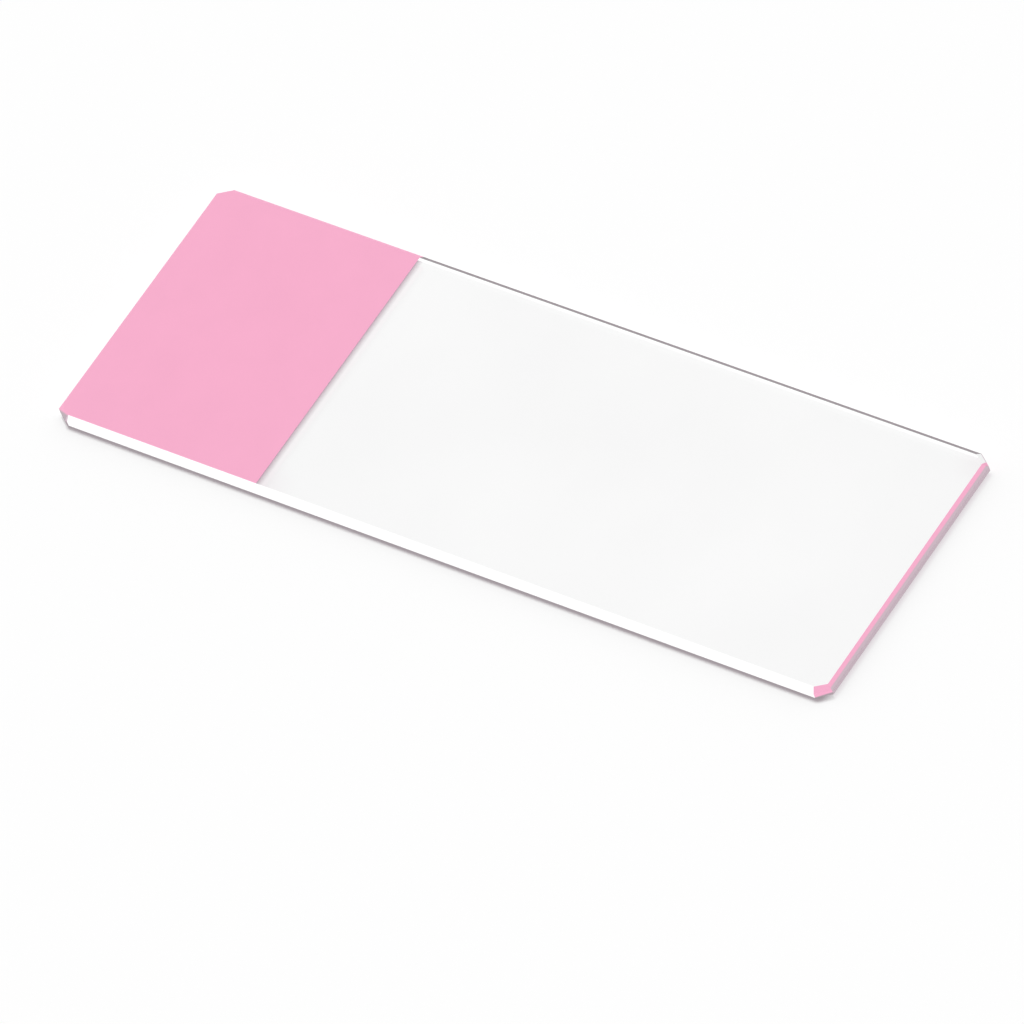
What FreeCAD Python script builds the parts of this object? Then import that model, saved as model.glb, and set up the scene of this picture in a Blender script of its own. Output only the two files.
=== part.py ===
"""Microscope slide: a clipped-corner glass plate with a coloured marking coat on one end of its top face.

Millimetres, +Z up, +X along the plate. The origin is the middle of the plate's underside, so the slide lies
flat on z = 0. The coat is at the -X end.
"""
import FreeCAD, Part
import os

import Sketcher

SIZES = {
    "plate_length": 75.0,
    "plate_width": 25.0,
    "plate_thickness": 1.2,
    "clip_along": 1.2,  # how much of the long edge each clipped corner takes
    "clip_across": 0.85,  # how much of the end each clipped corner takes
    "top_bevel": 0.4,  # ground 45 degree bevel round the top face
    "bottom_bevel": 0.3,  # the lighter one round the underside
    "coat_length": 20.0,  # from the plate's end to the coat's straight inner edge
    "coat_thickness": 0.04,
}

START, END = 1, 2  # how a sketch numbers a line's two ends
X_AXIS, Y_AXIS = -1, -2  # how a sketch numbers its own axes
ORIGIN = (X_AXIS, START)
HEIGHT_TOLERANCE = 1e-6


def make_sheet(doc):
    """Puts every driving dimension in one spreadsheet, named by its alias."""
    sheet = doc.addObject("Spreadsheet::Sheet", "Sizes")
    for row, (name, value) in enumerate(SIZES.items(), start=1):
        sheet.set(f"A{row}", name)
        sheet.set(f"B{row}", str(value))
        sheet.setAlias(f"B{row}", name)
    doc.recompute()
    return sheet


def add_body(doc, label):
    body = doc.addObject("PartDesign::Body", label)
    body.Label = label
    return body


def add_sketch(body, name):
    """Adds a sketch on the body's own XY plane."""
    sketch = body.newObject("Sketcher::SketchObject", name)
    plane = next(o for o in body.Origin.OriginFeatures if o.Role == "XY_Plane")
    sketch.AttachmentSupport = (plane, [""])
    sketch.MapMode = "FlatFace"
    return sketch


def draw_loop(sketch, corners):
    """Draws a closed loop of straight lines. Line i starts at corner i, and its end is tied to the next."""
    points = [FreeCAD.Vector(x, y, 0) for x, y in corners]
    count = len(points)
    for i in range(count):
        sketch.addGeometry(Part.LineSegment(points[i], points[(i + 1) % count]), False)
    for i in range(count):
        sketch.addConstraint(Sketcher.Constraint("Coincident", i, END, (i + 1) % count, START))


def mirror_corners(sketch, pairs, axis):
    """Makes corners mirror each other in a sketch axis. A corner is the start of the line with its number."""
    for first, second in pairs:
        sketch.addConstraint(Sketcher.Constraint("Symmetric", first, START, second, START, axis))


def set_distance(sketch, kind, first, second, value, expression):
    """Ties a distance between two (line, end) points to the spreadsheet."""
    number = sketch.addConstraint(Sketcher.Constraint(kind, *first, *second, value))
    sketch.setExpression(f"Constraints[{number}]", expression)


def pad(body, sketch, name, thickness):
    """Extrudes the sketch upwards by a named size."""
    feature = body.newObject("PartDesign::Pad", name)
    feature.Profile = sketch
    feature.setExpression("Length", f"Sizes.{thickness}")
    sketch.Visibility = False
    return feature


def bevel(doc, body, base, name, height, size):
    """Grinds a 45 degree bevel along every edge of the base's flat face at this height."""
    doc.recompute()
    edges = [
        f"Edge{i}"
        for i, edge in enumerate(base.Shape.Edges, start=1)
        if all(abs(vertex.Z - height) < HEIGHT_TOLERANCE for vertex in edge.Vertexes)
    ]
    feature = body.newObject("PartDesign::Chamfer", name)
    feature.Base = (base, edges)
    feature.setExpression("Size", f"Sizes.{size}")
    return feature


def inset_leg(leg, other_leg):
    """The leg of a clipped corner on the top face, where the bevel has moved its three lines inwards."""
    own, other = f"Sizes.{leg}", f"Sizes.{other_leg}"
    return f"{own} + Sizes.top_bevel * (hypot({own}; {other}) - {own} - {other}) / {other}"


def make_plate(doc):
    """The glass plate: a pad of the clipped rectangle, with its top and bottom edges ground."""
    body = add_body(doc, "glass_plate")
    sketch = add_sketch(body, "plate_outline")
    half_length, half_width = SIZES["plate_length"] / 2, SIZES["plate_width"] / 2
    straight_x, straight_y = half_length - SIZES["clip_along"], half_width - SIZES["clip_across"]
    draw_loop(sketch, [
        (-straight_x, -half_width), (straight_x, -half_width), (half_length, -straight_y),
        (half_length, straight_y), (straight_x, half_width), (-straight_x, half_width),
        (-half_length, straight_y), (-half_length, -straight_y),
    ])
    mirror_corners(sketch, [(0, 1), (5, 4), (7, 2)], Y_AXIS)
    mirror_corners(sketch, [(1, 4), (2, 3), (7, 6)], X_AXIS)
    set_distance(sketch, "DistanceX", (7, START), (2, START), SIZES["plate_length"], "Sizes.plate_length")
    set_distance(sketch, "DistanceY", (1, START), (4, START), SIZES["plate_width"], "Sizes.plate_width")
    set_distance(sketch, "DistanceX", (1, START), (1, END), SIZES["clip_along"], "Sizes.clip_along")
    set_distance(sketch, "DistanceY", (1, START), (1, END), SIZES["clip_across"], "Sizes.clip_across")
    slab = pad(body, sketch, "plate_slab", "plate_thickness")
    ground_top = bevel(doc, body, slab, "ground_top", SIZES["plate_thickness"], "top_bevel")
    body.Tip = bevel(doc, body, ground_top, "ground_bottom", 0.0, "bottom_bevel")
    return body


def make_coat(doc):
    """The marking coat: a thin printed layer that covers the top face, bevel to bevel, at the -X end."""
    body = add_body(doc, "marking_coat")
    sketch = add_sketch(body, "coat_outline")
    end_x = SIZES["plate_length"] / 2 - SIZES["top_bevel"]
    side_y = SIZES["plate_width"] / 2 - SIZES["top_bevel"]
    inner_x = SIZES["coat_length"] - SIZES["plate_length"] / 2
    clip_x, clip_y = SIZES["clip_along"], SIZES["clip_across"]
    draw_loop(sketch, [
        (-end_x + clip_x, -side_y), (inner_x, -side_y), (inner_x, side_y),
        (-end_x + clip_x, side_y), (-end_x, side_y - clip_y), (-end_x, -side_y + clip_y),
    ])
    mirror_corners(sketch, [(0, 3), (1, 2), (5, 4)], X_AXIS)
    sketch.addConstraint(Sketcher.Constraint("Horizontal", 0))
    set_distance(sketch, "DistanceY", (1, START), (2, START), 2 * side_y,
                 "Sizes.plate_width - 2 * Sizes.top_bevel")
    set_distance(sketch, "DistanceX", (5, START), ORIGIN, end_x, "Sizes.plate_length / 2 - Sizes.top_bevel")
    set_distance(sketch, "DistanceX", (5, START), (1, START), end_x + inner_x,
                 "Sizes.coat_length - Sizes.top_bevel")
    set_distance(sketch, "DistanceX", (5, START), (0, START), clip_x, inset_leg("clip_along", "clip_across"))
    set_distance(sketch, "DistanceY", (0, START), (5, START), clip_y, inset_leg("clip_across", "clip_along"))
    body.Tip = pad(body, sketch, "coat_layer", "coat_thickness")
    body.setExpression("Placement.Base.z", "Sizes.plate_thickness")
    return body


def check(doc, bodies):
    """Stops on a failed object, or on a sub-part that isn't one valid solid."""
    failed = [o.Name for o in doc.Objects if {"Invalid", "Error"} & set(o.State)]
    if failed:
        raise RuntimeError(f"failed objects: {failed}")
    for body in bodies:
        shape = body.Shape
        if shape.isNull() or not shape.isValid() or len(shape.Solids) != 1:
            raise RuntimeError(f"{body.Label} is not one valid solid")


def main():
    doc = FreeCAD.newDocument("microscope_slide")
    make_sheet(doc)
    bodies = [make_plate(doc), make_coat(doc)]
    doc.recompute()
    check(doc, bodies)
    os.makedirs("parts", exist_ok=True)
    for body in bodies:
        body.Shape.exportStep(os.path.join("parts", f"{body.Label}.step"))
        box = body.Shape.BoundBox
        print(f"{body.Label}: {box.XLength:.3f} x {box.YLength:.3f} x {box.ZLength:.3f} mm,"
              f" {body.Shape.Volume:.3f} mm3")


main()
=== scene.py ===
"""Looks for the microscope slide: clear glass with ground edges, and a matte pink marking coat on one end.

Metres, +Z up, +X along the slide away from the coat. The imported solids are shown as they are, with a material
for each of their faces.
"""
import math

import bpy
from mathutils import Matrix, Vector


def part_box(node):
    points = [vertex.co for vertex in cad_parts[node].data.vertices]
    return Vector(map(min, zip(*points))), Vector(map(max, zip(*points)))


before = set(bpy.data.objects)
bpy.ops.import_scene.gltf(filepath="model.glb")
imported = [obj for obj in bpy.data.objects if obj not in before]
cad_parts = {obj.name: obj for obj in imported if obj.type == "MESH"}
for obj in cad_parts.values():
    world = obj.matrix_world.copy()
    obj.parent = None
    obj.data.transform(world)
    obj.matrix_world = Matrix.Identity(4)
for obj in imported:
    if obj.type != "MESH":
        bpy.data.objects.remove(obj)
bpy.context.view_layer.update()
coat_low, coat_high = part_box("marking_coat")
plate_low, plate_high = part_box("glass_plate")

MM = 0.001
TOP_BEVEL = coat_low[0] - plate_low[0]

# Camera, fitted to the picture's outline of a standard slide
AIM = Vector((3.49 * MM, -6.37 * MM, 0.6 * MM))
VIEW_AZIMUTH, VIEW_ELEVATION, VIEW_ROLL = 51.15, 48.86, -23.18  # degrees
VIEW_DISTANCE, VIEW_LENS, SENSOR = 1.244, 559.6, 36.0

# Light, as shares of full white: the sky's and the key's on the level floor, the fill's on what faces it
SKY_LIGHT, KEY_LIGHT, FILL_LIGHT = 0.36, 0.64, 0.56
KEY_AZIMUTH, KEY_ELEVATION, KEY_WIDTH = 225, 74, 22  # degrees
FILL_AZIMUTH, FILL_ELEVATION, FILL_WIDTH = 30, 1, 1
FLOOR_SIZE = 4.0  # metres
FLOOR_GAP = 0.03 * MM  # keeps the floor clear of the underside

# Colours
WHITE = (1.0, 1.0, 1.0)
# The coat's print. On the far end's faces it is painted light: the coat's pink seen through the glass
PINK = (0.93, 0.43, 0.61)
# Painted light: the coat's pink as seen through the glass on the front right clip, dimmed below PINK
CLIP_COAT_GLOW = (0.80, 0.37, 0.53)
# Painted shade: pink in shade, low on the far end and on the faces near the corners
MAUVE_SHADE = (0.60, 0.48, 0.54)
# Painted shade: the feet of the ground faces, the under bevels and the front left clip
SHADE = (0.36, 0.30, 0.33)
CLIP_SHADE = (0.50, 0.42, 0.46)
# Painted shade: the dark line along the back of the clear part, on the back's top bevel
SEAM_SHADE = (0.33, 0.29, 0.31)
# Painted shade: the dark rim of the top face beside that bevel
RIM_SHADE = (0.14, 0.14, 0.14)
# Painted shadow: the coat's shadow on the floor, seen through the glass beside the coat's edge
COAT_SHADOW = (0.27, 0.135, 0.21)
# Painted shade, pinkish, round two corners of the clear part
PINKISH_SHADE = (0.90, 0.84, 0.87)
GROUND_WHITE = (0.97, 0.97, 0.97)
FLOOR_WHITE = (0.983, 0.983, 0.983)

# Where the clear face changes its look
HAZE_END = (0.9 * MM, 0.7 * MM)  # from the plate's back, where the haze fades out: a painted lighter strip
COAT_SHADOW_END = (0.36 * MM, 0.26 * MM)  # from the top's back, where the painted coat shadow ends
COAT_SHADOW_WIDTH = 0.58 * MM  # the painted coat shadow's reach out from the coat's straight edge
RIM_WIDTH = 0.035 * MM  # painted shade: the dark line where the top face meets the bevel at its back
PINKISH_SHADE_REACH = 4 * MM  # painted pinkish shade round two corners of the clear part

# Where, along X, the ground faces change theirs: the front is painted with shade up to the first, beside the
# coated end, and the shadow thins out between the other two, round the front right clip
CORNER_SHADE = plate_low[0] + 1.4 * MM
CLIP_FADE = (plate_high[0] - 0.9 * MM, plate_high[0] + 0.5 * MM)

# Shader settings
NOISE_SPAN = (0.3, 0.7)  # what the noise texture mostly gives
HAZE, INK_CLOUDS, GRIT, TOOTH, GRAIN = 60, 350, 9000, 12000, 16000  # noise scales, per metre
GLASS_IOR = 1.52
POLISHED = {"Roughness": 0.0, "IOR": GLASS_IOR, "Transmission Weight": 1.0}
GROUND = {"Roughness": 0.6, "IOR": GLASS_IOR, "Specular IOR Level": 0.04}
INK = {"Roughness": 0.75, "Specular IOR Level": 0.1}
MATTE = {"Roughness": 1.0, "Specular IOR Level": 0.0}

# The share of light that goes straight through: of the lamps', and of what comes from all round
CLEAR = {"lamps": (0.957, 0.957, 0.957), "ambient": (0.957, 0.957, 0.957)}
COAT = {"lamps": (0.97, 0.96, 0.965), "ambient": (0.97, 0.96, 0.965)}
DARK = {"lamps": (0.24, 0.18, 0.21), "ambient": (0.34, 0.31, 0.33)}
DIM = {"lamps": (0.9, 0.85, 0.88), "ambient": (0.24, 0.21, 0.23)}
BRIGHT = {"lamps": (0.95, 0.95, 0.95), "ambient": None}
OPEN = {"lamps": (0.97, 0.97, 0.97), "ambient": (0.97, 0.97, 0.97)}

# A mix node's colour sockets
COLOUR_A, COLOUR_B, COLOUR_RESULT = 6, 7, 2

# The share of a face's direction that lies along an axis, above which it faces squarely or leans that way
SQUARE, LEANING = 0.9, 0.3


def direction(azimuth, elevation):
    """The unit vector towards a point in the sky. Azimuth 0 is the front (-Y), and 90 is +X."""
    a, e = math.radians(azimuth), math.radians(elevation)
    return Vector((math.sin(a) * math.cos(e), -math.cos(a) * math.cos(e), math.sin(e)))


def add_camera():
    data = bpy.data.cameras.new("camera")
    data.sensor_width, data.lens = SENSOR, VIEW_LENS
    camera = bpy.data.objects.new("camera", data)
    bpy.context.collection.objects.link(camera)
    back = direction(VIEW_AZIMUTH, VIEW_ELEVATION)
    roll = Matrix.Rotation(math.radians(VIEW_ROLL), 3, "Z")
    turn = (-back).to_track_quat("-Z", "Y").to_matrix() @ roll
    camera.matrix_world = Matrix.Translation(AIM + back * VIEW_DISTANCE) @ turn.to_4x4()
    bpy.context.scene.camera = camera


def add_sun(name, azimuth, elevation, width, light):
    """A soft distant lamp. light is what it gives a surface that faces it, as a share of full white."""
    data = bpy.data.lights.new(name, "SUN")
    data.angle, data.energy = math.radians(width), light * math.pi
    lamp = bpy.data.objects.new(name, data)
    bpy.context.collection.objects.link(lamp)
    lamp.rotation_euler = direction(azimuth, elevation).to_track_quat("Z", "Y").to_euler()
    lamp.visible_glossy = lamp.visible_transmission = False


class Tree:
    """Short calls to build a material's or world's node tree."""

    def __init__(self, owner):
        owner.use_nodes = True
        self.nodes, self.links = owner.node_tree.nodes, owner.node_tree.links

    def add(self, kind, inputs=(), **settings):
        """Adds a node with these settings, and feeds its inputs."""
        node = self.nodes.new(kind)
        for name, value in settings.items():
            setattr(node, name, value)
        for socket, value in dict(inputs).items():
            self.feed(node, socket, value)
        return node

    def feed(self, node, socket, value):
        """Sets a socket to a value, or links it from another node's output."""
        if isinstance(value, bpy.types.NodeSocket):
            self.links.new(value, node.inputs[socket])
        else:
            node.inputs[socket].default_value = value

    def calculate(self, operation, *values):
        return self.add("ShaderNodeMath", dict(enumerate(values)), operation=operation).outputs[0]

    def any_of(self, first, *others):
        """The largest of several outputs."""
        for other in others:
            first = self.calculate("MAXIMUM", first, other)
        return first

    def ramp(self, value, start, end, low=0.0, high=1.0, shape="LINEAR"):
        """Runs from low to high while the value runs from start to end."""
        limits = {"Value": value, "From Min": start, "From Max": end, "To Min": low, "To Max": high}
        return self.add("ShaderNodeMapRange", limits, interpolation_type=shape).outputs[0]

    def mix(self, factor, low, high, kind="MIX"):
        """Mixes two colours: low where the factor is 0, and high where it is 1."""
        inputs = {"Factor": factor, COLOUR_A: low, COLOUR_B: high}
        return self.add("ShaderNodeMix", inputs, data_type="RGBA", blend_type=kind).outputs[COLOUR_RESULT]

    def multiply(self, colour, by):
        return self.mix(1.0, colour, by, kind="MULTIPLY")

    def mix_shaders(self, factor, low, high):
        return self.add("ShaderNodeMixShader", {0: factor, 1: low, 2: high}).outputs[0]

    def place(self):
        """The point on the object, in metres."""
        return self.add("ShaderNodeTexCoord").outputs["Object"]

    def noise(self, place, scale, detail):
        inputs = {"Vector": place, "Scale": scale, "Detail": detail}
        return self.add("ShaderNodeTexNoise", inputs).outputs[0]

    def vary(self, colour, place, scale, low, high):
        """Multiplies a colour by cloudy noise that runs from low to high."""
        return self.multiply(colour, self.ramp(self.noise(place, scale, detail=3.0), *NOISE_SPAN, low, high))

    def roughen(self, shader, place, scale, strength, depth):
        """Gives a shader a fine bumpy surface."""
        inputs = {"Strength": strength, "Distance": depth, "Height": self.noise(place, scale, detail=2.0)}
        self.feed(shader, "Normal", self.add("ShaderNodeBump", inputs).outputs[0])


def rgba(colour):
    return (*colour, 1.0)


def new_material(name, settings):
    """Makes a material whose shader has these settings, and gives its tree and shader with it."""
    material = bpy.data.materials.new(name)
    tree = Tree(material)
    shader = tree.nodes["Principled BSDF"]
    for socket, value in settings.items():
        tree.feed(shader, socket, value)
    return material, tree, shader


def let_light_through(tree, surface, lamps, ambient, faded=()):
    """Lets lamps, and the light that comes from all round, pass straight on, so nothing is counted twice.

    lamps and ambient tint what falls on the face from outside. Light from within leaves the glass untinted,
    and so does all light where an output in faded is 1. Where ambient is None, the face stops that light
    outside and shows its own colour in it.
    """
    path = tree.add("ShaderNodeLightPath").outputs
    within = tree.add("ShaderNodeNewGeometry").outputs["Backfacing"]
    untinted = tree.any_of(within, *faded)

    def passed(tint):
        colour = tree.mix(untinted, rgba(tint), rgba(WHITE))
        return tree.add("ShaderNodeBsdfTransparent", {"Color": colour}).outputs[0]

    bounced = passed(ambient) if ambient else tree.mix_shaders(within, surface, passed(lamps))
    seen = tree.mix_shaders(path["Is Diffuse Ray"], surface, bounced)
    seen = tree.mix_shaders(path["Is Shadow Ray"], seen, passed(lamps))
    tree.feed(tree.nodes["Material Output"], "Surface", seen)


def clear_glass(name, beside_coat=False):
    """Polished glass with a faint haze, which fades out near the back in a painted lighter strip.

    beside_coat adds what shows beside the coat on the top face: painted shadow along the coat's edge, a
    painted dark line of shade along the back, and painted pinkish shade round two corners.
    """
    material, tree, glass = new_material(name, POLISHED)
    place = tree.place()
    x, y, _ = tree.add("ShaderNodeSeparateXYZ", {0: place}).outputs
    # The haze fades out near the back, a painted lighter strip along the back edge
    near_back = tree.ramp(y, *(plate_high[1] - inwards for inwards in HAZE_END))
    colour = tree.mix(near_back, tree.vary(rgba(WHITE), place, HAZE, 0.97, 1.0), rgba(WHITE))
    if beside_coat:
        edge = coat_high[0]
        # Painted shadow along the coat's edge, fading out away from it and towards the back
        past_coat_shadow = tree.ramp(x, edge, edge + COAT_SHADOW_WIDTH)
        behind_coat_shadow = tree.ramp(y, *(coat_high[1] - inwards for inwards in COAT_SHADOW_END))
        coat_shadow = tree.mix(tree.any_of(past_coat_shadow, behind_coat_shadow), rgba(COAT_SHADOW), rgba(WHITE))
        # Painted shade: a dark line along the back edge of the top face
        on_rim = tree.calculate("GREATER_THAN", y, coat_high[1] - RIM_WIDTH)
        colour = tree.mix(on_rim, tree.multiply(colour, coat_shadow), rgba(RIM_SHADE))
        # Painted pinkish shade, darker towards two corners of the clear part
        for corner in ((plate_high[0], plate_high[1], plate_high[2]), (edge, plate_low[1], plate_high[2])):
            away = tree.add("ShaderNodeVectorMath", {0: place, 1: corner}, operation="DISTANCE")
            fade = tree.ramp(away.outputs["Value"], 0.0, PINKISH_SHADE_REACH, shape="SMOOTHSTEP")
            colour = tree.multiply(colour, tree.mix(fade, rgba(PINKISH_SHADE), rgba(WHITE)))
        colour = tree.mix(tree.calculate("GREATER_THAN", x, edge), rgba(WHITE), colour)
    tree.feed(glass, "Base Color", colour)
    let_light_through(tree, glass.outputs[0], **CLEAR)
    return material


def ground_edge(name, high, low=None, change=(0.0, 1.0), rise=0.0, split=None, fade=None, **passing):
    """Ground glass with the fine grain of a grinding wheel. From within the glass it is white.

    low is the painted shade at its foot, and change the heights in mm between which it turns into high, at the
    plate's end. Inwards from there the change climbs by rise for each mm. split is a place along X and the
    colour beyond it. fade is the stretch of X over which its shadow fades out. passing goes to
    let_light_through. The mauves and greys given to it are painted shade, and pink on the far end's faces is
    painted light, the coat's colour seen through the glass.
    """
    material, tree, glass = new_material(name, GROUND)
    place = tree.place()
    x, _, z = tree.add("ShaderNodeSeparateXYZ", {0: place}).outputs
    colour = rgba(high)
    if low:
        inwards = tree.calculate("SUBTRACT", plate_high[0], tree.calculate("ABSOLUTE", x))
        height = tree.calculate("MULTIPLY_ADD", inwards, -rise, z)
        above_foot = tree.ramp(height, change[0] * MM, change[1] * MM, shape="SMOOTHSTEP")
        colour = tree.mix(above_foot, rgba(low), colour)
    if split:
        colour = tree.mix(tree.calculate("GREATER_THAN", x, split[0]), colour, rgba(split[1]))
    within = tree.add("ShaderNodeNewGeometry").outputs["Backfacing"]
    colour = tree.mix(within, colour, rgba(GROUND_WHITE))
    tree.feed(glass, "Base Color", tree.vary(colour, place, GRIT, 0.97, 1.0))
    tree.roughen(glass, place, GRAIN, strength=0.25, depth=0.02 * MM)
    faded = [tree.ramp(x, *fade)] if fade else []
    let_light_through(tree, glass.outputs[0], faded=faded, **passing)
    return material


def printed_coat():
    """Matte ink: faint clouds where it dried thicker, and a fine tooth that takes pencil."""
    material, tree, coat = new_material("pink_coat", INK)
    place = tree.place()
    clouds = tree.vary(rgba(PINK), place, INK_CLOUDS, 0.988, 1.006)
    tree.feed(coat, "Base Color", tree.vary(clouds, place, TOOTH, 0.985, 1.01))
    tree.roughen(coat, place, TOOTH, strength=0.15, depth=0.01 * MM)
    let_light_through(tree, coat.outputs[0], **COAT)
    return material


def add_floor():
    bpy.ops.mesh.primitive_plane_add(size=FLOOR_SIZE, location=(0, 0, -FLOOR_GAP))
    floor = bpy.context.object
    floor.name = "floor"
    floor.data.materials.append(new_material("floor", {"Base Color": rgba(FLOOR_WHITE), **MATTE})[0])


def add_world():
    """Soft light from all round. What the camera, a reflection or a refraction sees of it is plain white."""
    world = bpy.data.worlds.new("studio")
    bpy.context.scene.world = world
    tree = Tree(world)
    path = tree.add("ShaderNodeLightPath").outputs
    seen = tree.any_of(path["Is Camera Ray"], path["Is Glossy Ray"], path["Is Transmission Ray"])
    tree.feed(tree.nodes["Background"], "Strength", tree.ramp(seen, 0.0, 1.0, low=SKY_LIGHT))
    tree.feed(tree.nodes["Background"], "Color", rgba(WHITE))


def dress(node, materials, choose):
    """Gives each flat face of a solid the material that choose names for its outward direction."""
    mesh = node.data
    mesh.materials.clear()
    names = list(materials)
    for name in names:
        mesh.materials.append(materials[name])
    for polygon in mesh.polygons:
        polygon.material_index = names.index(choose(polygon.normal))
        polygon.use_smooth = False


def plate_face(normal):
    """Names the material for a face of the plate by the way it looks: up, down, or out to a side or clip."""
    if abs(normal.z) > SQUARE:
        return "top" if normal.z > 0 else "bottom"
    side = Vector((normal.x, normal.y)).normalized()
    upper, under = normal.z > LEANING, normal.z < -LEANING
    if side.y > LEANING or side.x < -SQUARE:
        if under:
            return "under_back"
        return "clip_back" if side.x > LEANING else "seam" if upper else "back"
    if side.x > SQUARE:
        return "under_end" if under else "end"
    if under:
        return "under"
    if side.y < -SQUARE:
        return "front"
    return "clip_right" if side.x > 0 else "clip_left" if upper else "foot_left"


add_camera()
add_floor()
add_world()
add_sun("key", KEY_AZIMUTH, KEY_ELEVATION, KEY_WIDTH, KEY_LIGHT / math.sin(math.radians(KEY_ELEVATION)))
add_sun("fill", FILL_AZIMUTH, FILL_ELEVATION, FILL_WIDTH, FILL_LIGHT)
dress(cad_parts["glass_plate"], {
    "top": clear_glass("clear_top", beside_coat=True),
    "bottom": clear_glass("clear_bottom"),
    # Painted shade on the front beside the coated end, white beyond
    "front": ground_edge("ground_front", MAUVE_SHADE, low=SHADE, change=(0.7, 0.9),
                         split=(CORNER_SHADE, GROUND_WHITE), **DARK),
    # Painted shade on the under bevels
    "under": ground_edge("ground_under", SHADE, fade=CLIP_FADE, **DARK),
    # Painted shade under the far end
    "under_end": ground_edge("ground_under_end", MAUVE_SHADE, **DIM),
    "under_back": ground_edge("ground_under_back", GROUND_WHITE, **OPEN),
    "back": ground_edge("ground_back", GROUND_WHITE, **BRIGHT),
    # The coat's print where it runs over the bevel, painted shade beyond it
    "seam": ground_edge("ground_seam", PINK, split=(coat_high[0], SEAM_SHADE), **BRIGHT),
    # The far end: painted pink light from the coat, painted shade at its foot
    "end": ground_edge("ground_end", PINK, low=MAUVE_SHADE, change=(0.9, 1.0), **DIM),
    # Painted pink light from the coat, with a painted shade foot
    "clip_right": ground_edge("clip_right", CLIP_COAT_GLOW, low=SHADE, change=(0.54, 0.66), rise=-0.2,
                              fade=CLIP_FADE, **DARK),
    # White, with a painted shade foot and painted pink light at its far tip
    "clip_back": ground_edge("clip_back", GROUND_WHITE, low=MAUVE_SHADE, change=(0.8, 0.9),
                             split=(plate_high[0] - TOP_BEVEL, PINK), **BRIGHT),
    # Painted shade
    "foot_left": ground_edge("foot_left", SHADE, **DARK),
    # The coat's print over the bevel, painted shade below it
    "clip_left": ground_edge("clip_left", PINK, low=CLIP_SHADE, change=(0.72, 0.86), rise=0.29, **DARK),
}, plate_face)
dress(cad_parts["marking_coat"], {"coat": printed_coat()}, lambda normal: "coat")

scene = bpy.context.scene
scene.view_settings.view_transform = "Standard"
scene.cycles.transmission_bounces = 24
scene.cycles.max_bounces = 32
